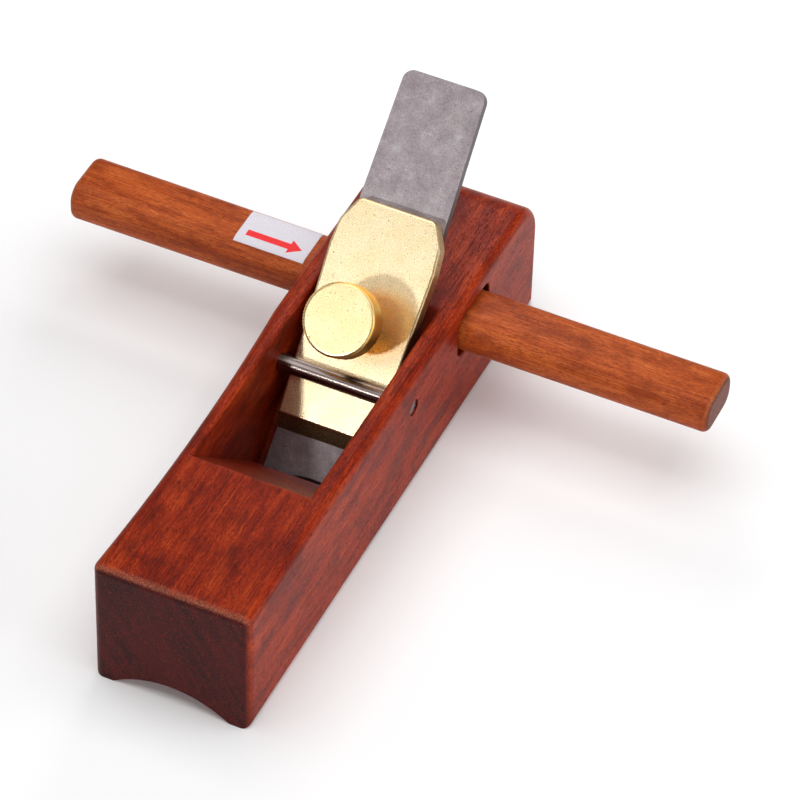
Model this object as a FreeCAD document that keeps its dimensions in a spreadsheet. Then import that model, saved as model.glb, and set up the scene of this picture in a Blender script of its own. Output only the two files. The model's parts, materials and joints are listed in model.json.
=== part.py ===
import FreeCAD, Part
import os

import Sketcher

# A small wooden hand plane with a hollow sole and a cross handle.
# Frame, in millimetres: X runs across the stock (the handle's direction), Y runs along it from
# toe (-Y) to heel (+Y), Z is up, and the origin is on the ground under the middle of the stock.

doc = FreeCAD.newDocument("hand_plane")

DIMENSIONS = [
    # the stock
    ("stock_length", 180.0),
    ("stock_width", 45.5),
    ("stock_height", 41.5),
    ("edge_round", 2.6),
    ("heel_round", 13.0),
    ("waist_depth", 1.8),
    ("waist_radius", 800.0),
    ("waist_place", -38.0),
    ("sole_rise", 5.7),
    ("sole_radius", 27.6),
    # the throat, cut through the stock
    ("throat_width", 34.2),
    ("bed_top", 34.9),
    ("bed_angle", 45.0),
    ("lip_place", -43.9),
    ("mouth_front", -10.6),
    ("mouth_level", 9.35),
    ("lip_round", 1.2),
    # the cross rod under which the lever cap is held
    ("rod_radius", 2.5),
    ("rod_place", 8.4),
    ("rod_level", 30.0),
    ("rod_inset", 0.4),
    ("rod_end_chamfer", 0.3),
    # the handle and its mortise
    ("handle_length", 192.0),
    ("handle_start", -97.0),
    ("handle_width", 19.0),
    ("handle_depth", 12.8),
    ("handle_taper", 0.55),
    ("handle_corner", 5.4),
    ("handle_place", 47.0),
    ("handle_level", 29.2),
    ("handle_end_round", 1.8),
    ("mortise_width", 19.8),
    ("mortise_depth", 13.6),
    ("mortise_place", 46.8),
    ("mortise_level", 29.4),
    ("mortise_corner", 3.0),
    ("mortise_round", 0.6),
    # the paper label on the handle
    ("label_start", -47.4),
    ("label_end", -26.1),
    ("label_thickness", 0.15),
    ("label_gap", 0.03),
    ("label_front", 40.6),
    ("label_back", 53.5),
    # the iron, lying on the bed
    ("seat_gap", 0.1),
    ("iron_thickness", 3.0),
    ("iron_top", 113.0),
    ("iron_top_half", 12.0),
    ("iron_edge_half", 14.7),
    ("iron_edge_set", 0.5),
    ("iron_corner", 3.2),
    ("iron_bevel", 28.0),
    ("iron_land", 0.15),
    # the lever cap, lying on the iron
    ("cap_thickness", 4.8),
    ("cap_low", 10.0),
    ("cap_top", 76.0),
    ("cap_low_half", 14.1),
    ("cap_waist", 62.0),
    ("cap_waist_half", 15.5),
    ("cap_shoulder", 69.0),
    ("cap_shoulder_half", 14.9),
    ("cap_top_half", 11.3),
    ("cap_turn", 4.0),
    ("cap_bevel", 4.3),
    ("cap_edge_round", 0.7),
    # the thumb screw through the cap
    ("screw_radius", 3.0),
    ("screw_clearance", 0.05),
    ("screw_place", 43.3),
    ("screw_end_chamfer", 0.5),
    ("knob_radius", 10.2),
    ("knob_thickness", 7.6),
    ("knob_gap", 11.4),
    ("knob_bore_depth", 5.8),
    ("knob_edge", 0.5),
]

SLACK = 0.01   # how far off a level an edge may lie and still count as on it
MARGIN = 0.5   # the same for the flanks, which the waist and the roundings bend

sheet = doc.addObject("Spreadsheet::Sheet", "dimensions")
for row, (alias, value) in enumerate(DIMENSIONS, start=1):
    sheet.set("A%d" % row, alias)
    sheet.set("B%d" % row, str(value))
    sheet.setAlias("B%d" % row, alias)
doc.recompute()


def size(alias):
    """The value of one driving dimension."""
    return float(getattr(sheet, alias))


def bound(formula):
    """A formula written in plain aliases, as an expression on the sheet."""
    words = sorted((alias for alias, value in DIMENSIONS), key=len, reverse=True)
    text = formula
    for number, word in enumerate(words):
        text = text.replace(word, "{%d}" % number)
    for number, word in enumerate(words):
        text = text.replace("{%d}" % number, "dimensions." + word)
    return text


def value_of(formula):
    """What a formula of plain aliases comes to now, in millimetres."""
    return float(sheet.evalExpression(bound(formula)))


def new_body(name):
    body = doc.addObject("PartDesign::Body", name)
    body.Label = name
    return body


def new_sketch(body, name, role, offset=None):
    """A sketch on one of the body's own origin planes, moved along that plane's normal."""
    plane = next(item for item in body.Origin.OriginFeatures if item.Role == role)
    sketch = body.newObject("Sketcher::SketchObject", name)
    sketch.AttachmentSupport = [(plane, "")]
    sketch.MapMode = "FlatFace"
    if offset is not None:
        sketch.setExpression("AttachmentOffset.Base.z", bound(offset))
    return sketch


def pin_point(sketch, geometry, end, across, up):
    """Holds one end of a sketch line at the place that two formulas give."""
    for kind, formula in (("DistanceX", across), ("DistanceY", up)):
        amount = value_of(formula)
        index = sketch.addConstraint(
            Sketcher.Constraint(kind, -1, 1, geometry, end, amount))
        sketch.setExpression("Constraints[%d]" % index, bound(formula))


def draw_outline(sketch, corners, bulges=None):
    """A closed outline through corners, each a pair of formulas, bound to the sheet.

    bulges gives the radius, and a point on the arc, for each side that isn't straight.
    """
    bulges = bulges or {}
    first = len(sketch.Geometry)
    count = len(corners)
    places = [FreeCAD.Vector(value_of(x), value_of(y), 0) for x, y in corners]
    ends = []
    for side in range(count):
        start, stop = places[side], places[(side + 1) % count]
        order = (1, 2)
        if side in bulges:
            x, y = bulges[side][1]
            middle = FreeCAD.Vector(value_of(x), value_of(y), 0)
            if (middle - start).cross(stop - middle).z < 0:
                start, stop = stop, start
                order = (2, 1)
            sketch.addGeometry(Part.Arc(start, middle, stop), False)
        else:
            sketch.addGeometry(Part.LineSegment(start, stop), False)
        ends.append(order)
    for side in range(count):
        after = (side + 1) % count
        sketch.addConstraint(Sketcher.Constraint(
            "Coincident", first + side, ends[side][1], first + after, ends[after][0]))
    for side, (x, y) in enumerate(corners):
        pin_point(sketch, first + side, ends[side][0], x, y)
    for side, (radius, middle) in bulges.items():
        index = sketch.addConstraint(
            Sketcher.Constraint("Radius", first + side, value_of(radius)))
        sketch.setExpression("Constraints[%d]" % index, bound(radius))


def draw_circle(sketch, x, y, radius):
    """A circle about a place given by two formulas, bound to the sheet."""
    centre = FreeCAD.Vector(value_of(x), value_of(y), 0)
    circle = sketch.addGeometry(
        Part.Circle(centre, FreeCAD.Vector(0, 0, 1), value_of(radius)), False)
    pin_point(sketch, circle, 3, x, y)
    index = sketch.addConstraint(Sketcher.Constraint("Radius", circle, value_of(radius)))
    sketch.setExpression("Constraints[%d]" % index, bound(radius))


def draw_rounded_box(sketch, x, y, width, depth, corner):
    """A rectangle with round corners about a centre, all five given as formulas."""
    diagonal = "(%s) * (1 - sqrt(0.5))" % corner
    corners = []
    bulges = {}
    turns = [(1, -1), (1, 1), (-1, 1), (-1, -1)]
    for number, (across, up) in enumerate(turns):
        edge_x = "%s + (%s) * (%s) / 2" % (x, across, width)
        edge_y = "%s + (%s) * (%s) / 2" % (y, up, depth)
        inner_x = "%s - (%s) * (%s)" % (edge_x, across, corner)
        inner_y = "%s - (%s) * (%s)" % (edge_y, up, corner)
        pair = [(inner_x, edge_y), (edge_x, inner_y)]
        if across != -up:
            pair.reverse()
        corners.extend(pair)
        middle = ("%s - (%s) * (%s)" % (edge_x, across, diagonal),
                  "%s - (%s) * (%s)" % (edge_y, up, diagonal))
        bulges[2 * number] = (corner, middle)
    draw_outline(sketch, corners, bulges)


def pad(body, name, sketch, length, middle=False):
    """Solid material from a sketch, as thick as a formula says."""
    feature = body.newObject("PartDesign::Pad", name)
    feature.Profile = sketch
    feature.Midplane = middle
    feature.setExpression("Length", bound(length))
    doc.recompute()
    return feature


def cut(body, name, sketch, length, middle=False, along_normal=False):
    """Removes a sketch's shape from the body, and makes sure that it removed something."""
    before = body.Shape.Volume
    feature = body.newObject("PartDesign::Pocket", name)
    feature.Profile = sketch
    feature.Midplane = middle
    feature.Reversed = along_normal
    feature.setExpression("Length", bound(length))
    doc.recompute()
    if not body.Shape.Volume < before:
        raise RuntimeError("%s removed nothing from %s" % (name, body.Label))
    return feature


def dress(body, kind, name, wanted, amounts):
    """A Fillet or Chamfer on the edges of the body's tip for which wanted(edge) is true."""
    tip = body.Tip
    edges = ["Edge%d" % number for number, edge in enumerate(tip.Shape.Edges, start=1)
             if wanted(edge)]
    if not edges:
        raise RuntimeError("%s found no edge on %s" % (name, body.Label))
    feature = body.newObject("PartDesign::" + kind, name)
    feature.Base = (tip, edges)
    for field, formula in amounts.items():
        feature.setExpression(field, bound(formula))
    doc.recompute()
    return feature


def near(a, b):
    return abs(a - b) < SLACK


def middle_of(edge):
    return edge.valueAt((edge.FirstParameter + edge.LastParameter) / 2)


def flat_in(edge, axis, level):
    """Whether all of an edge lies at one level of X, Y or Z (axis 0, 1 or 2)."""
    return all(near(vertex.Point[axis], level) for vertex in edge.Vertexes) and near(
        middle_of(edge)[axis], level)


# Heights above the bed's plane, measured square to it. The iron, cap and screw are drawn lying
# flat, with Y up the bed and Z square to it, and are then tilted onto the bed.
BED = "(stock_height * cos(bed_angle) - bed_top * sin(bed_angle))"
IRON_FACE = "(%s + seat_gap + iron_thickness)" % BED
CAP_FACE = "(%s + seat_gap + cap_thickness)" % IRON_FACE


def lay_on_bed(body, height):
    """Tilts a body to the bed's angle, at a height above the bed's plane through the origin."""
    body.Placement = FreeCAD.Placement(
        FreeCAD.Vector(0, 0, 0), FreeCAD.Rotation(FreeCAD.Vector(1, 0, 0), size("bed_angle")))
    body.setExpression("Placement.Rotation.Angle", bound("bed_angle"))
    body.setExpression("Placement.Base.y", bound("-%s * sin(bed_angle)" % height))
    body.setExpression("Placement.Base.z", bound("%s * cos(bed_angle)" % height))


def make_stock():
    """The wooden block, with its throat, hollow sole, handle mortise and rod holes."""
    body = new_body("stock")
    side = new_sketch(body, "side_profile", "YZ_Plane")
    heel_turn = ("stock_length / 2 - heel_round * (1 - cos(45))",
                 "stock_height - heel_round * (1 - sin(45))")
    draw_outline(side, [
        ("-stock_length / 2", "0"),
        ("stock_length / 2", "0"),
        ("stock_length / 2", "stock_height - heel_round"),
        ("stock_length / 2 - heel_round", "stock_height"),
        ("-stock_length / 2", "stock_height"),
    ], {2: ("heel_round", heel_turn)})
    pad(body, "block", side, "stock_width", middle=True)

    waist = new_sketch(body, "waist_circle", "XY_Plane")
    draw_circle(waist, "waist_depth - stock_width / 2 - waist_radius", "waist_place", "waist_radius")
    cut(body, "left_waist", waist, "stock_height", along_normal=True)

    half_width = value_of("stock_width / 2")
    half_length = value_of("stock_length / 2")
    height = size("stock_height")

    def outer_edge(edge):
        x, y, z = middle_of(edge)
        across = edge.BoundBox.YLength < SLACK and edge.BoundBox.ZLength < SLACK
        if across:
            return near(y, -half_length) and near(z, height)
        return abs(x) > half_width - size("waist_depth") - MARGIN

    dress(body, "Fillet", "rounded_edges", outer_edge, {"Radius": "edge_round"})

    hollow = new_sketch(body, "sole_circle", "XZ_Plane")
    draw_circle(hollow, "0", "sole_rise - sole_radius", "sole_radius")
    cut(body, "hollow_sole", hollow, "2 * stock_length", middle=True)

    throat = new_sketch(body, "throat_profile", "YZ_Plane")
    over = "stock_height / 10"
    slope = "tan(bed_angle)"
    draw_outline(throat, [
        ("mouth_front", "-%s" % over),
        ("bed_top - (stock_height + %s) / %s" % (over, slope), "-%s" % over),
        ("bed_top + %s / %s" % (over, slope), "stock_height + %s" % over),
        ("lip_place", "stock_height + %s" % over),
        ("lip_place", "stock_height"),
        ("mouth_front", "mouth_level"),
    ])
    cut(body, "throat", throat, "throat_width", middle=True)

    half_throat = value_of("throat_width / 2")
    front = size("lip_place")
    back = size("bed_top")

    def throat_rim(edge):
        x, y, z = middle_of(edge)
        inside = abs(x) < half_throat + SLACK and front - SLACK < y < back + SLACK
        return inside and flat_in(edge, 2, height)

    dress(body, "Fillet", "eased_throat", throat_rim, {"Radius": "lip_round"})

    mortise = new_sketch(body, "mortise_profile", "YZ_Plane")
    draw_rounded_box(mortise, "mortise_place", "mortise_level",
                     "mortise_width", "mortise_depth", "mortise_corner")
    cut(body, "mortise", mortise, "2 * stock_width", middle=True)
    mortise_middle = value_of("mortise_place")
    reach = value_of("mortise_width / 2")

    def mortise_rim(edge):
        x, y, z = middle_of(edge)
        inside = abs(y - mortise_middle) < reach + SLACK and MARGIN < z < height - MARGIN
        return inside and abs(x) > half_width - MARGIN and edge.BoundBox.XLength < MARGIN

    dress(body, "Fillet", "eased_mortise", mortise_rim, {"Radius": "mortise_round"})

    rod = new_sketch(body, "rod_circle", "YZ_Plane")
    draw_circle(rod, "rod_place", "rod_level", "rod_radius")
    cut(body, "rod_holes", rod, "2 * stock_width", middle=True)
    return body


def handle_section(sketch, x, grow):
    """The handle's cross-section at a place along X, grown outwards by a formula."""
    inset = "(handle_taper * (%s - handle_start) / handle_length - (%s))" % (x, grow)
    draw_rounded_box(sketch, "handle_place", "handle_level",
                     "(handle_width - 2 * %s)" % inset, "(handle_depth - 2 * %s)" % inset,
                     "(handle_corner - %s)" % inset)


def make_handle():
    """The cross handle, which tapers slightly to the right so that it jams in its mortise."""
    body = new_body("handle")
    section = new_sketch(body, "left_section", "YZ_Plane", offset="handle_start")
    handle_section(section, "handle_start", "0")
    bar = pad(body, "bar", section, "handle_length")
    bar.setExpression("TaperAngle", bound("atan(-handle_taper / handle_length)"))
    doc.recompute()
    left_end = size("handle_start")
    right_end = value_of("handle_start + handle_length")

    def end_edge(edge):
        return flat_in(edge, 0, left_end) or flat_in(edge, 0, right_end)

    dress(body, "Fillet", "rounded_ends", end_edge, {"Radius": "handle_end_round"})
    return body


def label_loft(body, kind, name, grow):
    """The handle's shape over the label's length, grown outwards by a formula."""
    sections = []
    for end, place in (("left", "label_start"), ("right", "label_end")):
        sketch = new_sketch(body, "%s_%s_section" % (name, end), "YZ_Plane", offset=place)
        handle_section(sketch, place, grow)
        sections.append(sketch)
    feature = body.newObject("PartDesign::" + kind, name)
    feature.Profile = sections[0]
    feature.Sections = [sections[1]]
    feature.Ruled = True
    doc.recompute()
    return feature


def make_label():
    """A thin paper label, curved over the top and front of the handle."""
    body = new_body("handle_label")
    label_loft(body, "AdditiveLoft", "outside", "label_thickness + label_gap")
    label_loft(body, "SubtractiveLoft", "inside", "label_gap")
    window = new_sketch(body, "label_window", "YZ_Plane")
    draw_outline(window, [
        ("handle_place - handle_width", "handle_level - handle_width"),
        ("handle_place + handle_width", "handle_level - handle_width"),
        ("handle_place + handle_width", "handle_level + handle_width"),
        ("handle_place - handle_width", "handle_level + handle_width"),
    ])
    draw_outline(window, [
        ("label_front", "handle_level"),
        ("label_back", "handle_level"),
        ("label_back", "handle_level + handle_depth"),
        ("label_front", "handle_level + handle_depth"),
    ])
    cut(body, "trimmed_edges", window, "2 * handle_length", middle=True)
    return body


def make_iron():
    """The tapered cutting iron, bevel down, with its edge hollowed to match the sole."""
    body = new_body("plane_iron")
    place_up_bed = "((%%s - %s * cos(bed_angle)) / sin(bed_angle))" % IRON_FACE
    middle = place_up_bed % "(sole_rise - iron_edge_set)"
    side = place_up_bed % (
        "(sqrt(sole_radius ^ 2 - iron_edge_half ^ 2) - sole_radius + sole_rise - iron_edge_set)")
    rise = "(%s - %s)" % (middle, side)
    edge_radius = "(iron_edge_half ^ 2 + %s ^ 2) / (2 * %s)" % (rise, rise)
    outline = new_sketch(body, "iron_outline", "XY_Plane")
    draw_outline(outline, [
        ("-iron_edge_half", side),
        ("iron_edge_half", side),
        ("iron_top_half", "iron_top"),
        ("-iron_top_half", "iron_top"),
    ], {0: (edge_radius, ("0", middle))})
    pad(body, "plate", outline, "iron_thickness")
    top = size("iron_top")

    def top_corner(edge):
        return edge.BoundBox.ZLength > SLACK and near(middle_of(edge)[1], top)

    dress(body, "Fillet", "round_corners", top_corner, {"Radius": "iron_corner"})

    def bevel_edge(edge):
        return middle_of(edge)[1] < 1 and flat_in(edge, 2, 0)

    bevel = dress(body, "Chamfer", "cutting_bevel", bevel_edge, {
        "Size": "iron_thickness - iron_land",
        "Size2": "(iron_thickness - iron_land) / tan(iron_bevel)",
    })
    bevel.ChamferType = "Two distances"
    bevel.FlipDirection = True
    doc.recompute()
    lay_on_bed(body, "(%s + seat_gap)" % BED)
    return body


def make_cap():
    """The thick brass cap, bevelled at its lower end and threaded for the clamp screw."""
    body = new_body("lever_cap")
    outline = new_sketch(body, "cap_outline", "XY_Plane")
    right = [
        ("cap_low_half", "cap_low"),
        ("cap_waist_half", "cap_waist"),
        ("cap_shoulder_half", "cap_shoulder"),
        ("cap_top_half", "cap_top"),
    ]
    left = [("-" + x, y) for x, y in reversed(right)]
    draw_outline(outline, right + left)
    pad(body, "plate", outline, "cap_thickness")

    def corner_at(place):
        def wanted(edge):
            return edge.BoundBox.ZLength > SLACK and near(middle_of(edge)[1], size(place))
        return wanted

    dress(body, "Fillet", "round_shoulders", corner_at("cap_shoulder"), {"Radius": "cap_turn"})
    dress(body, "Fillet", "round_top", corner_at("cap_top"), {"Radius": "cap_turn / 2"})
    top = size("cap_thickness")
    low = size("cap_low")

    def low_edge(edge):
        return flat_in(edge, 2, top) and flat_in(edge, 1, low)

    dress(body, "Chamfer", "low_bevel", low_edge, {"Size": "cap_bevel"})

    def face_rim(edge):
        return flat_in(edge, 2, top)

    dress(body, "Fillet", "soft_rim", face_rim, {"Radius": "cap_edge_round"})
    hole = new_sketch(body, "screw_hole_circle", "XY_Plane")
    draw_circle(hole, "0", "screw_place", "screw_radius + screw_clearance")
    cut(body, "screw_hole", hole, "2 * cap_thickness", along_normal=True)
    lay_on_bed(body, "(%s + seat_gap)" % IRON_FACE)
    return body


def make_screw():
    """The clamp screw's steel shank, from the iron's face up into the knob."""
    body = new_body("clamp_screw")
    outline = new_sketch(body, "shank_circle", "XY_Plane")
    draw_circle(outline, "0", "screw_place", "screw_radius")
    pad(body, "shank", outline, "cap_thickness + knob_gap + knob_bore_depth - screw_clearance")
    dress(body, "Chamfer", "shank_ends", lambda edge: edge.BoundBox.ZLength < SLACK,
          {"Size": "screw_end_chamfer"})
    lay_on_bed(body, "(%s + seat_gap)" % IRON_FACE)
    return body


def make_knob():
    """The round brass thumb knob, blind-bored for the shank."""
    body = new_body("screw_knob")
    outline = new_sketch(body, "knob_circle", "XY_Plane")
    draw_circle(outline, "0", "screw_place", "knob_radius")
    pad(body, "disc", outline, "knob_thickness")
    dress(body, "Chamfer", "knob_edges", lambda edge: edge.BoundBox.ZLength < SLACK,
          {"Size": "knob_edge"})
    bore = new_sketch(body, "bore_circle", "XY_Plane")
    draw_circle(bore, "0", "screw_place", "screw_radius + screw_clearance")
    cut(body, "bore", bore, "knob_bore_depth", along_normal=True)
    lay_on_bed(body, "(%s + knob_gap)" % CAP_FACE)
    return body


def make_rod():
    """The steel cross rod, its ends just inside the flanks."""
    body = new_body("cross_rod")
    outline = new_sketch(body, "rod_section", "YZ_Plane")
    draw_circle(outline, "rod_place", "rod_level", "rod_radius")
    pad(body, "rod", outline, "stock_width - 2 * rod_inset", middle=True)
    dress(body, "Chamfer", "rod_ends", lambda edge: edge.BoundBox.XLength < SLACK,
          {"Size": "rod_end_chamfer"})
    return body


sub_parts = [
    make_stock(),
    make_handle(),
    make_label(),
    make_iron(),
    make_cap(),
    make_screw(),
    make_knob(),
    make_rod(),
]
doc.recompute()

for item in doc.Objects:
    if "Invalid" in item.State or "Error" in item.State:
        raise RuntimeError("%s is %s" % (item.Label, item.State))
for part in sub_parts:
    if part.Shape.isNull() or not part.Shape.isValid():
        raise RuntimeError("%s has no valid shape" % part.Label)

os.makedirs("parts", exist_ok=True)
for part in sub_parts:
    part.Shape.exportStep("parts/%s.step" % part.Label)
    box = part.Shape.BoundBox
    print("%-14s %2d solid(s) %10.1f mm3  x %7.2f..%7.2f  y %7.2f..%7.2f  z %6.2f..%6.2f" % (
        part.Label, len(part.Shape.Solids), part.Shape.Volume,
        box.XMin, box.XMax, box.YMin, box.YMax, box.ZMin, box.ZMax))
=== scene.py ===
import json
import math

import bmesh
import bpy
from mathutils import Matrix, Vector


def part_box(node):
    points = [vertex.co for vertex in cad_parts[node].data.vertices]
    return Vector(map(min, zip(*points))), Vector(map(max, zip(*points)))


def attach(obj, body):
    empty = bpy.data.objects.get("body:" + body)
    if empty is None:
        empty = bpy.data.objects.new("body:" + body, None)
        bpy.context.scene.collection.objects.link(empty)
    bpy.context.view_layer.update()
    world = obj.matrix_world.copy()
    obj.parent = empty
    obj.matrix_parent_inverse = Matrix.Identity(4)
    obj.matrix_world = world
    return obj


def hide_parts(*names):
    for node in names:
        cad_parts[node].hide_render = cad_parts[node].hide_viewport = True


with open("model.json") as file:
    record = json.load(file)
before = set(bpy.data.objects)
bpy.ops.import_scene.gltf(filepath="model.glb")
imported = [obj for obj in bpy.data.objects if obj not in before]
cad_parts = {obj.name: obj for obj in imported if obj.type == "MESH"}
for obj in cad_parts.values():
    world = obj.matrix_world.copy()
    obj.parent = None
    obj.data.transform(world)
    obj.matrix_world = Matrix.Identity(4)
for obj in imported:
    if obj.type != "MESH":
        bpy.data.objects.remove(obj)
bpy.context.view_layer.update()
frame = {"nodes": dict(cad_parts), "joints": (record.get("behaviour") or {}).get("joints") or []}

# A small wooden hand plane: red-brown stock and handle, brass lever cap and thumb knob, steel iron.
# Lengths are metres unless a name ends in _mm. Textures use the frame's own coordinates, so the
# grain stays with its piece when the piece moves.

MM = 0.001
RING_LEAN_DEGREES = 30
# How far from each end of a piece the painted edge highlight reaches.
EDGE_HIGHLIGHT_REACH_MM = 6.0
SHANK_CLEARANCE = 0.05 * MM
KNOB_BORE_DEPTH = 5.8 * MM
THREAD_PITCH = 1.0 * MM
JOINTS = {joint["name"]: joint for joint in frame["joints"]}


def colour(red, green, blue):
    """A linear colour from the 0-255 values that a screen shows."""
    def linear(value):
        share = value / 255
        return share / 12.92 if share <= 0.04045 else ((share + 0.055) / 1.055) ** 2.4
    return (linear(red), linear(green), linear(blue), 1.0)


# ---------------------------------------------------------------- node graphs

class Graph:
    """The nodes of one material, added one at a time around its Principled shader."""

    def __init__(self, name, **constants):
        self.material = bpy.data.materials.new(name)
        self.material.use_nodes = True
        self.tree = self.material.node_tree
        self.shader = self.tree.nodes["Principled BSDF"]
        for socket, value in constants.items():
            self.shader.inputs[socket.replace("_", " ")].default_value = value
        self.place = self.put("ShaderNodeTexCoord").outputs["Object"]

    def put(self, kind, inputs=None, **settings):
        """A new node, its inputs fed by numbers or by other nodes' outputs."""
        node = self.tree.nodes.new(kind)
        for setting, value in settings.items():
            setattr(node, setting, value)
        for socket, value in (inputs or {}).items():
            self.feed(node.inputs[socket], value)
        return node

    def feed(self, socket, value):
        if isinstance(value, bpy.types.NodeSocket):
            self.tree.links.new(value, socket)
        else:
            socket.default_value = value

    def math(self, operation, first, second=0.0):
        node = self.put("ShaderNodeMath", {0: first, 1: second}, operation=operation)
        return node.outputs[0]

    def vector_math(self, operation, first, second):
        node = self.put("ShaderNodeVectorMath", {0: first, 1: second}, operation=operation)
        return node.outputs["Value" if operation == "DOT_PRODUCT" else "Vector"]

    def spread(self, value, low, high, to_low=0.0, to_high=1.0):
        """value, as it goes from low to high, brought to between to_low and to_high."""
        node = self.put("ShaderNodeMapRange", {
            "Value": value, "From Min": low, "From Max": high, "To Min": to_low, "To Max": to_high})
        return node.outputs["Result"]

    def noise(self, size_mm, detail=2.0, roughness=0.5, shift=0.0, place=None):
        """Smooth noise whose features measure about size_mm along X, Y and Z."""
        start = place or self.place
        scaled = self.vector_math("MULTIPLY", start, tuple(1 / (size * MM) for size in size_mm))
        moved = self.vector_math("ADD", scaled, (shift, shift * 0.7, shift * 0.4))
        node = self.put("ShaderNodeTexNoise", {
            "Vector": moved, "Scale": 1.0, "Detail": detail, "Roughness": roughness})
        return node.outputs["Fac"]

    def mix(self, share, first, second):
        """The colour first, gone over to second by a share from 0 to 1."""
        node = self.put("ShaderNodeMix", data_type="RGBA")
        self.feed(node.inputs["Factor"], share)
        self.feed(node.inputs[6], first)
        self.feed(node.inputs[7], second)
        return node.outputs[2]

    def facing(self, x, y, z):
        """How squarely the surface faces a direction of the frame, from -1 to 1."""
        normal = self.put("ShaderNodeTexCoord").outputs["Normal"]
        return self.vector_math("DOT_PRODUCT", normal, (x, y, z))

    def leaning(self, axis):
        """The place on the object, turned by the lean of the growth rings about one axis."""
        turn = [0.0, 0.0, 0.0]
        turn[axis] = math.radians(RING_LEAN_DEGREES)
        node = self.put("ShaderNodeVectorRotate", {"Vector": self.place}, rotation_type="EULER_XYZ")
        node.inputs["Rotation"].default_value = turn
        return node.outputs["Vector"]

    def bump(self, height, depth_mm):
        node = self.put("ShaderNodeBump", {"Height": height, "Distance": depth_mm * MM})
        return node.outputs["Normal"]

    def finish(self, **links):
        """The material, its shader's sockets fed by the outputs given."""
        for socket, value in links.items():
            self.feed(self.shader.inputs[socket.replace("_", " ")], value)
        return self.material


def along_grain(axis, across_mm, along_mm):
    """A feature size that is long on one axis, 0 for X or 1 for Y, and short on the others."""
    sizes = [across_mm, across_mm, across_mm]
    sizes[axis] = along_mm
    return tuple(sizes)


def long_grain(graph, axis, fleck, ribbon, tones):
    """The colour of oiled rosewood along its grain: figure, fine lines, ribbons, flecks, smudges."""
    dark, middle, light = tones
    figure = graph.noise(along_grain(axis, 4.5, 26.0), detail=3.0, roughness=0.6)
    lines = graph.noise(along_grain(axis, 0.4, 26.0), detail=2.0, roughness=0.6, shift=5.0)
    tone = graph.math("ADD", graph.math("MULTIPLY", figure, 0.28), graph.math("MULTIPLY", lines, 0.2))
    tone = graph.math("ADD", tone, graph.math("MULTIPLY", ribbon, 0.2))
    tone = graph.math("ADD", tone, graph.math("MULTIPLY", fleck, 0.32))
    low_half = graph.mix(graph.spread(tone, 0.40, 0.5), dark, middle)
    body = graph.mix(graph.spread(tone, 0.5, 0.60), low_half, light)
    smudge = graph.noise(along_grain(axis, 7.0, 11.0), detail=3.0, roughness=0.6, shift=23.0)
    return graph.mix(graph.spread(smudge, 0.5, 0.66, 0.0, 0.6), body, dark)


def open_pores(graph, axis):
    """How much of a pore each place is: short fine and coarse pores, and long dark streaks."""
    fine = graph.noise(along_grain(axis, 0.2, 1.3), detail=1.0, shift=37.0)
    coarse = graph.noise(along_grain(axis, 0.36, 2.6), detail=1.0, shift=53.0)
    streaks = graph.noise(along_grain(axis, 0.45, 16.0), detail=2.0, roughness=0.6, shift=61.0)
    short = graph.math("MAXIMUM", graph.spread(fine, 0.58, 0.72), graph.spread(coarse, 0.63, 0.72))
    return graph.math("MAXIMUM", short, graph.spread(streaks, 0.61, 0.72, 0.0, 0.9))


def end_grain(graph, axis, speck, end_tone, ring_tone, dust_tone):
    """The colour of a sawn end: leaning growth rings and paler specks."""
    rings = graph.noise((3.0, 3.0, 30.0), detail=4.0, roughness=0.65, place=graph.leaning(axis))
    ringed = graph.mix(graph.spread(rings, 0.4, 0.62, 0.0, 0.8), end_tone, ring_tone)
    return graph.mix(graph.spread(speck, 0.54, 0.7, 0.0, 0.6), ringed, dust_tone)


def painted_edge_highlight(graph, node, axis, along, ends, speck):
    """How much painted highlight each place gets: specks where a node's long grain rounds over into
    its end grain, stronger on edges that face up.
    """
    node_low, node_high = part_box(node)
    middle_place = (node_low[axis] + node_high[axis]) / 2
    half_length = (node_high[axis] - node_low[axis]) / 2
    place = graph.vector_math("DOT_PRODUCT", graph.place, along)
    off_middle = graph.math("ABSOLUTE", graph.math("SUBTRACT", place, middle_place))
    near_end = graph.math("GREATER_THAN", off_middle, half_length - EDGE_HIGHLIGHT_REACH_MM * MM)
    turning = graph.math("MULTIPLY", graph.spread(ends, 0.2, 0.6), graph.spread(ends, 0.93, 0.78))
    turning = graph.math("MULTIPLY", turning, near_end)
    # The painted highlight is stronger on edges that face up, as if lit from above.
    upward = graph.spread(graph.facing(0.0, 0.0, 1.0), 0.05, 0.4, 0.15, 1.0)
    turning = graph.math("MULTIPLY", turning, upward)
    return graph.math("MULTIPLY", turning, graph.spread(speck, 0.42, 0.62, 0.1, 0.7))


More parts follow.
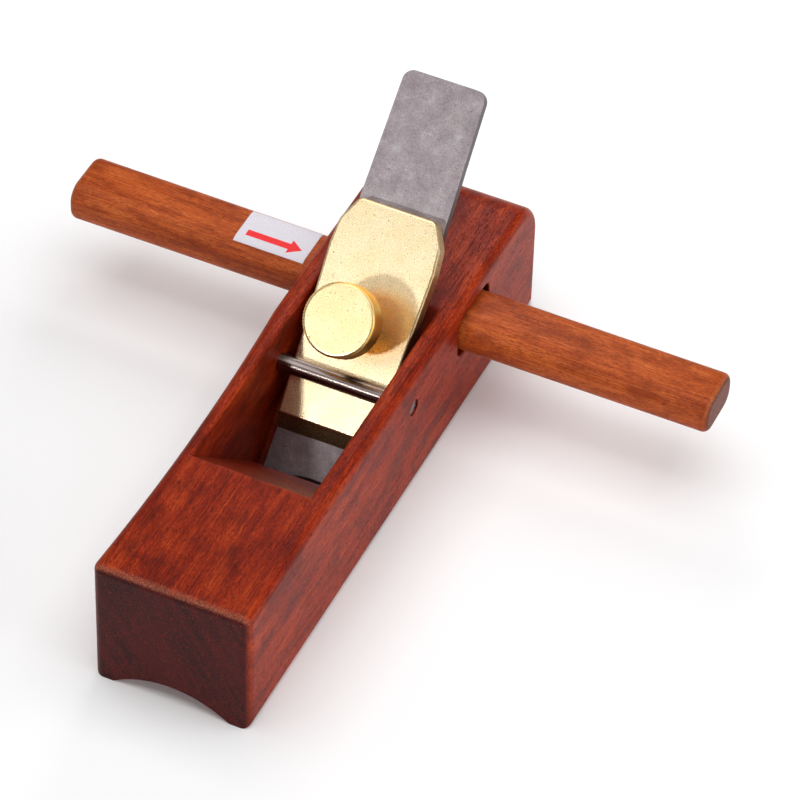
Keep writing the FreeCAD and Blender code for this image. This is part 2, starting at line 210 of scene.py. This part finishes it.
def wood(name, node, axis, tones, end_tone, pore_tone, edge_highlight_tone, pore_share):
    """Oiled rosewood for one CAD node, with its grain along one axis.

    tones are the dark, middle and light colours of the long grain; the pale edge tone is a painted
    highlight in specks on the rounded ends, mostly on their upper edges.
    """
    graph = Graph(name, Roughness=0.4, Specular_IOR_Level=0.13)
    ribbon = graph.noise(along_grain(axis, 0.38, 7.0), detail=3.0, roughness=0.65, shift=11.0)
    fleck = graph.noise(along_grain(axis, 0.16, 1.2), detail=2.0, roughness=0.6, shift=17.0)
    speck = graph.noise((0.42, 0.42, 0.42), detail=2.0, roughness=0.7, shift=71.0)
    along = tuple(1.0 if step == axis else 0.0 for step in range(3))
    ends = graph.math("ABSOLUTE", graph.facing(*along))

    body = long_grain(graph, axis, fleck, ribbon, tones)
    pores = open_pores(graph, axis)
    body = graph.mix(graph.math("MULTIPLY", pores, pore_share), body, pore_tone)
    end_colour = end_grain(graph, axis, speck, end_tone, pore_tone, tones[1])
    body = graph.mix(graph.spread(ends, 0.5, 0.93), body, end_colour)
    # Painted highlight: a pale tone in specks on the rounded ends, mostly their upper edges.
    body = graph.mix(painted_edge_highlight(graph, node, axis, along, ends, speck), body, edge_highlight_tone)

    height = graph.math("SUBTRACT", graph.math("MULTIPLY", fleck, 0.4), pores)
    rough = graph.math("ADD", graph.spread(ribbon, 0.3, 0.7, 0.36, 0.48),
                       graph.math("MULTIPLY", pores, 0.15))
    return graph.finish(Base_Color=body, Roughness=rough, Normal=graph.bump(height, 0.04))


def steel_plate(name, flat_way, side_tone):
    """Forged grey steel with a fine grain, clouds and small pits, and darker sides."""
    graph = Graph(name, Metallic=1.0)
    cloud = graph.noise((5.0, 5.0, 5.0), detail=5.0, roughness=0.7, shift=7.0)
    grain = graph.noise((0.4, 0.4, 0.4), detail=3.0, roughness=0.75, shift=19.0)
    base = graph.mix(graph.spread(grain, 0.3, 0.7), colour(138, 127, 129), colour(184, 174, 177))
    base = graph.mix(graph.spread(cloud, 0.42, 0.66, 0.0, 0.6), base, colour(124, 114, 118))
    base = graph.mix(graph.spread(cloud, 0.42, 0.30, 0.0, 0.5), base, colour(184, 184, 194))
    side = graph.spread(graph.math("ABSOLUTE", graph.facing(*flat_way)), 0.95, 0.6)
    base = graph.mix(side, base, side_tone)
    pits = graph.spread(graph.noise((0.7, 0.7, 0.7), detail=1.0, shift=43.0), 0.72, 0.80)
    base = graph.mix(graph.math("MULTIPLY", pits, 0.7), base, colour(76, 66, 66))
    height = graph.math("SUBTRACT", graph.math("MULTIPLY", grain, 0.6), pits)
    rough = graph.spread(grain, 0.3, 0.7, 0.32, 0.42)
    return graph.finish(Base_Color=base, Roughness=rough, Normal=graph.bump(height, 0.01))


def brass(name, tones, flat_way, side_tone, side_rough):
    """Satin brass with fine pits and small dark specks.

    Only faces that look along flat_way are polished; the others are a deeper gold and rougher.
    """
    graph = Graph(name, Metallic=1.0)
    cloud = graph.noise((6.0, 6.0, 6.0), detail=3.0, shift=3.0)
    fine = graph.noise((0.28, 0.28, 0.28), detail=2.0, roughness=0.8, shift=13.0)
    base = graph.mix(graph.spread(cloud, 0.35, 0.65), tones[0], tones[1])
    base = graph.mix(graph.spread(fine, 0.55, 0.3, 0.0, 0.6), base, colour(216, 186, 134))
    specks = graph.spread(graph.noise((0.7, 0.7, 0.7), detail=1.0, shift=29.0), 0.69, 0.75)
    base = graph.mix(graph.math("MULTIPLY", specks, 0.55), base, colour(150, 112, 60))
    side = graph.spread(graph.facing(*flat_way), 0.97, 0.7)
    edge_mottle = graph.spread(fine, 0.38, 0.6, 0.35, 1.0)
    base = graph.mix(graph.math("MULTIPLY", side, edge_mottle), base, side_tone)
    height = graph.math("SUBTRACT", graph.math("MULTIPLY", fine, 0.6), specks)
    rough = graph.math("ADD", graph.spread(fine, 0.3, 0.7, 0.24, 0.32),
                       graph.math("MULTIPLY", side, side_rough))
    return graph.finish(Base_Color=base, Roughness=rough, Normal=graph.bump(height, 0.016))


def dark_steel(name):
    """Drawn steel, darkened by oil, with faint streaks along X."""
    graph = Graph(name, Metallic=1.0)
    streak = graph.noise((12.0, 0.5, 0.5), detail=3.0)
    base = graph.mix(graph.spread(streak, 0.35, 0.65), colour(96, 84, 80), colour(140, 128, 124))
    rough = graph.spread(streak, 0.3, 0.7, 0.2, 0.3)
    return graph.finish(Base_Color=base, Roughness=rough)


def paper(name, arrow):
    """White paper with a printed red arrow that points along +X."""
    graph = Graph(name, Roughness=0.6, Specular_IOR_Level=0.3)
    parts = graph.put("ShaderNodeSeparateXYZ", {"Vector": graph.place})
    x = parts.outputs["X"]
    off_line = graph.math("ABSOLUTE", graph.math("SUBTRACT", parts.outputs["Y"], arrow["line"]))
    in_shaft = graph.math("LESS_THAN", off_line, arrow["shaft_half"])
    after_tail = graph.math("GREATER_THAN", x, arrow["tail"])
    before_head = graph.math("LESS_THAN", x, arrow["head"])
    shaft = graph.math("MULTIPLY", graph.math("MULTIPLY", in_shaft, after_tail), before_head)
    slope = arrow["head_half"] / (arrow["tip"] - arrow["head"])
    narrowing = graph.math("MULTIPLY", graph.math("SUBTRACT", arrow["tip"], x), slope)
    in_point = graph.math("LESS_THAN", off_line, narrowing)
    after_head = graph.math("GREATER_THAN", x, arrow["head"])
    point = graph.math("MULTIPLY", in_point, after_head)
    ink = graph.math("MAXIMUM", shaft, point)
    fibre = graph.noise((0.3, 0.3, 0.3), detail=3.0)
    sheet = graph.mix(graph.spread(fibre, 0.3, 0.7), colour(206, 200, 208), colour(222, 218, 226))
    printed = graph.mix(graph.math("MULTIPLY", ink, 0.97), sheet, colour(232, 8, 16))
    return graph.finish(Base_Color=printed, Normal=graph.bump(fibre, 0.01))


# ---------------------------------------------------------------- meshes

def new_piece(name, vertices, faces, material, smooth_degrees):
    """A mesh object, smooth except where its faces meet at more than smooth_degrees."""
    mesh = bpy.data.meshes.new(name)
    mesh.from_pydata([tuple(v) for v in vertices], [], faces)
    mesh.validate()
    mesh.materials.append(material)
    piece = bpy.data.objects.new(name, mesh)
    bpy.context.scene.collection.objects.link(piece)
    build = bmesh.new()
    build.from_mesh(mesh)
    bmesh.ops.recalc_face_normals(build, faces=build.faces)
    limit = math.radians(smooth_degrees)
    for face in build.faces:
        face.smooth = True
    for edge in build.edges:
        edge.smooth = len(edge.link_faces) == 2 and edge.calc_face_angle(math.pi) < limit
    build.to_mesh(mesh)
    build.free()
    return piece


def turned_frame(axis, centre):
    """A matrix whose Z is the given axis and whose origin is centre; its X is the frame's X."""
    up = Vector(axis).normalized()
    across = Vector((1, 0, 0))
    ahead = up.cross(across)
    turn = Matrix((across, ahead, up)).transposed().to_4x4()
    return Matrix.Translation(centre) @ turn


def span_along(node, place):
    """The lowest and highest level of a CAD node along the Z of a placing matrix."""
    back = place.inverted()
    levels = [(back @ vertex.co).z for vertex in frame["nodes"][node].data.vertices]
    return min(levels), max(levels)


def reach_around(node, place):
    """The largest distance of a CAD node from the Z axis of a placing matrix."""
    back = place.inverted()
    return max((back @ vertex.co).xy.length for vertex in frame["nodes"][node].data.vertices)


def ring_surface(rings):
    """Vertices and faces of a closed surface through rings of the same number of points."""
    count = len(rings[0])
    vertices = [point for ring in rings for point in ring]
    last = (len(rings) - 1) * count
    faces = []
    for start in range(0, last, count):
        for step in range(count):
            here = start + step
            after = start + (step + 1) % count
            faces.append((here, after, after + count, here + count))
    faces.append(tuple(range(count - 1, -1, -1)))
    faces.append(tuple(range(last, last + count)))
    return vertices, faces


def knurled_knob(name, place, low, high, radius, bore_radius, bore_depth, material):
    """The thumb knob: a disc with a diamond knurl on its side and a blind bore underneath."""
    columns = 144
    rows = 13
    cut_depth = 0.32 * MM
    rim = 0.55 * MM
    bevel = 0.08 * MM
    centre_hole = 0.15 * MM

    def circle(distance, level, wave=0.0, phase=0):
        """A ring of points, every second one of which is drawn in by wave."""
        points = []
        for step in range(columns):
            angle = 2 * math.pi * step / columns
            reach = distance - (wave if (step + phase) % 2 else 0.0)
            points.append(place @ Vector((reach * math.cos(angle), reach * math.sin(angle), level)))
        return points

    rings = [
        circle(centre_hole, low + bore_depth),
        circle(bore_radius, low + bore_depth),
        circle(bore_radius, low),
        circle(radius - 2.2 * rim, low),
        circle(radius - rim, low),
        circle(radius - cut_depth, low + rim * 0.8),
    ]
    for row in range(rows):
        level = low + rim + (high - low - 2 * rim) * row / (rows - 1)
        rings.append(circle(radius, level, cut_depth, row))
    rings += [
        circle(radius - cut_depth, high - rim * 0.8),
        circle(radius - rim * 0.95, high - bevel),
        circle(radius - 1.5 * rim, high),
        circle(radius - 1.8 * rim, high),
        circle(centre_hole, high),
    ]
    vertices, faces = ring_surface(rings)
    return new_piece(name, vertices, faces, material, smooth_degrees=28.0)


def threaded_shank(name, place, low, high, radius, pitch, material):
    """The clamp screw: a shank with a cut thread between two plain chamfered ends."""
    columns = 48
    per_turn = 8
    depth = 0.55 * pitch
    end_length = 0.5 * MM
    end_chamfer = 0.45 * MM
    rows = int((high - low) / pitch * per_turn)
    rings = []
    for row in range(rows + 1):
        level = low + (high - low) * row / rows
        fade = min(1.0, min(level - low, high - level) / end_length)
        ring = []
        for step in range(columns):
            angle = 2 * math.pi * step / columns
            phase = (level / pitch - step / columns) % 1.0
            groove = 1 - abs(2 * phase - 1)
            reach = radius - depth * groove * fade - end_chamfer * (1 - fade)
            ring.append(place @ Vector((reach * math.cos(angle), reach * math.sin(angle), level)))
        rings.append(ring)
    vertices, faces = ring_surface(rings)
    return new_piece(name, vertices, faces, material, smooth_degrees=40.0)


# ---------------------------------------------------------------- materials on the CAD nodes

def dress_node(node, material):
    """Gives a CAD node one material."""
    holder = frame["nodes"][node]
    holder.data.materials.clear()
    holder.data.materials.append(material)


# The pale edge tones below are painted highlights on the rounded ends of the stock and the handle.
stock_wood = wood(
    "stock_wood", "stock", axis=1,
    tones=(colour(82, 13, 3), colour(138, 34, 4), colour(176, 64, 18)),
    end_tone=colour(70, 12, 12), pore_tone=colour(34, 6, 4), edge_highlight_tone=colour(170, 104, 80),
    pore_share=0.6)
handle_wood = wood(
    "handle_wood", "handle", axis=0,
    tones=(colour(128, 48, 17), colour(176, 78, 30), colour(204, 105, 50)),
    end_tone=colour(96, 44, 26), pore_tone=colour(84, 38, 18), edge_highlight_tone=colour(176, 104, 66),
    pore_share=0.55)
screw_axis = JOINTS["knob_turn"]["axis"]
iron_steel = steel_plate("iron_steel", flat_way=screw_axis, side_tone=colour(72, 62, 62))
cap_brass = brass(
    "cap_brass", tones=(colour(246, 222, 178), colour(250, 229, 190)),
    flat_way=screw_axis, side_tone=colour(136, 100, 42), side_rough=0.12)
knob_brass = brass(
    "knob_brass", tones=(colour(247, 222, 168), colour(250, 227, 178)),
    flat_way=screw_axis, side_tone=colour(255, 190, 34), side_rough=0.05)
rod_steel = dark_steel("rod_steel")
screw_steel = dark_steel("screw_steel")

label_low, label_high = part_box("handle_label")
label_length = label_high.x - label_low.x
label_paper = paper("label_paper", {
    "line": label_low.y + 4.0 * MM,
    "shaft_half": 1.15 * MM,
    "head_half": 2.7 * MM,
    "tail": label_low.x + 0.11 * label_length,
    "head": label_low.x + 0.72 * label_length,
    "tip": label_low.x + 0.90 * label_length,
})

dress_node("stock", stock_wood)
dress_node("handle", handle_wood)
dress_node("handle_label", label_paper)
dress_node("plane_iron", iron_steel)
dress_node("lever_cap", cap_brass)
dress_node("cross_rod", rod_steel)

screw_place = turned_frame(screw_axis, Vector(JOINTS["knob_turn"]["pos_m"]))
knob_low, knob_high = span_along("screw_knob", screw_place)
shank_low, shank_high = span_along("clamp_screw", screw_place)
shank_radius = reach_around("clamp_screw", screw_place)
knob_radius = reach_around("screw_knob", screw_place)

knob = knurled_knob("thumb_knob", screw_place, knob_low, knob_high, knob_radius,
                    shank_radius + SHANK_CLEARANCE, KNOB_BORE_DEPTH, knob_brass)
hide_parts("screw_knob")
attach(knob, "knob")

shank = threaded_shank("threaded_shank", screw_place, shank_low, shank_high, shank_radius,
                       THREAD_PITCH, screw_steel)
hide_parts("clamp_screw")
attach(shank, "screw")


# ---------------------------------------------------------------- floor, light and camera

def studio_floor():
    """A wide pale floor."""
    mesh = bpy.data.meshes.new("floor")
    half = 4.0
    mesh.from_pydata([(-half, -half, 0), (half, -half, 0), (half, half, 0), (-half, half, 0)],
                     [], [(0, 1, 2, 3)])
    floor = bpy.data.objects.new("floor", mesh)
    bpy.context.scene.collection.objects.link(floor)
    graph = Graph("floor", Roughness=0.9, Specular_IOR_Level=0.0)
    haze = graph.noise((400.0, 400.0, 400.0), detail=1.0)
    tone = graph.mix(haze, (0.94, 0.94, 0.945, 1), (0.96, 0.96, 0.96, 1))
    mesh.materials.append(graph.finish(Base_Color=tone))


def soft_box(name, direction, distance, width, height, radiance, upright=(0, 0, 1)):
    """An area light that faces the middle of the object, its height turned towards upright."""
    data = bpy.data.lights.new(name, "AREA")
    data.shape = "RECTANGLE"
    data.size = width
    data.size_y = height
    data.energy = radiance * math.pi * width * height
    light = bpy.data.objects.new(name, data)
    way = Vector(direction).normalized()
    tall = Vector(upright)
    tall = (tall - way * tall.dot(way)).normalized()
    pose = Matrix((tall.cross(way), tall, way)).transposed().to_4x4()
    pose.translation = OBJECT_MIDDLE + way * distance
    light.matrix_world = pose
    bpy.context.scene.collection.objects.link(light)
    return light


def studio_camera(target, azimuth, elevation, roll, distance, lens):
    """A camera that looks at target from an azimuth (0 looks along +Y) and an elevation."""
    turn, lift, lean = (math.radians(angle) for angle in (azimuth, elevation, roll))
    back = Vector((math.sin(turn) * math.cos(lift), -math.cos(turn) * math.cos(lift), math.sin(lift)))
    level_right = Vector((math.cos(turn), math.sin(turn), 0))
    level_up = back.cross(level_right)
    right = level_right * math.cos(lean) + level_up * math.sin(lean)
    up = level_up * math.cos(lean) - level_right * math.sin(lean)
    data = bpy.data.cameras.new("camera")
    data.lens = lens
    data.sensor_width = 36.0
    data.clip_end = 20.0
    camera = bpy.data.objects.new("camera", data)
    pose = Matrix((right, up, back)).transposed().to_4x4()
    pose.translation = target + back * distance
    camera.matrix_world = pose
    bpy.context.scene.collection.objects.link(camera)
    bpy.context.scene.camera = camera


OBJECT_MIDDLE = Vector((0, 0, 0.03))
studio_floor()
soft_box("top_box", (0.0, -0.05, 1.0), 1.2, 1.5, 1.2, 2.25)
# A tall strip and a small key light only the metal's gloss, so they cast no hard floor shadows.
strip = soft_box("strip_box", (-0.508, -1.25, 1.0), 1.3, 0.08, 0.7, 3.4, upright=(0, 1, 0))
strip.visible_diffuse = False
key = soft_box("key_box", (-0.248, -0.838, 0.488), 1.3, 0.08, 0.08, 150.0)
key.visible_diffuse = False
# The front fill lifts the wood and the floor, and leaves the metal's gloss alone.
front = soft_box("front_box", (0.25, -1.0, 0.45), 1.2, 1.0, 0.8, 1.6)
front.visible_glossy = False
soft_box("right_box", (1.0, 0.1, 0.3), 1.3, 1.2, 0.7, 3.4)
soft_box("heel_box", (-0.053, 0.212, 0.167), 0.275, 0.12, 0.12, 4.0)
soft_box("left_box", (-1.0, 0.1, 0.3), 1.3, 1.2, 0.7, 0.9)

world = bpy.data.worlds.new("studio")
bpy.context.scene.world = world
world.use_nodes = True
backdrop = world.node_tree.nodes["Background"]
backdrop.inputs["Color"].default_value = (1, 1, 1, 1)
backdrop.inputs["Strength"].default_value = 0.12
bpy.context.scene.view_settings.view_transform = "Standard"

studio_camera(
    target=Vector((12.31, 22.56, 15.65)) * MM,
    azimuth=23.871, elevation=44.986, roll=1.88, distance=1.30822, lens=216.81)
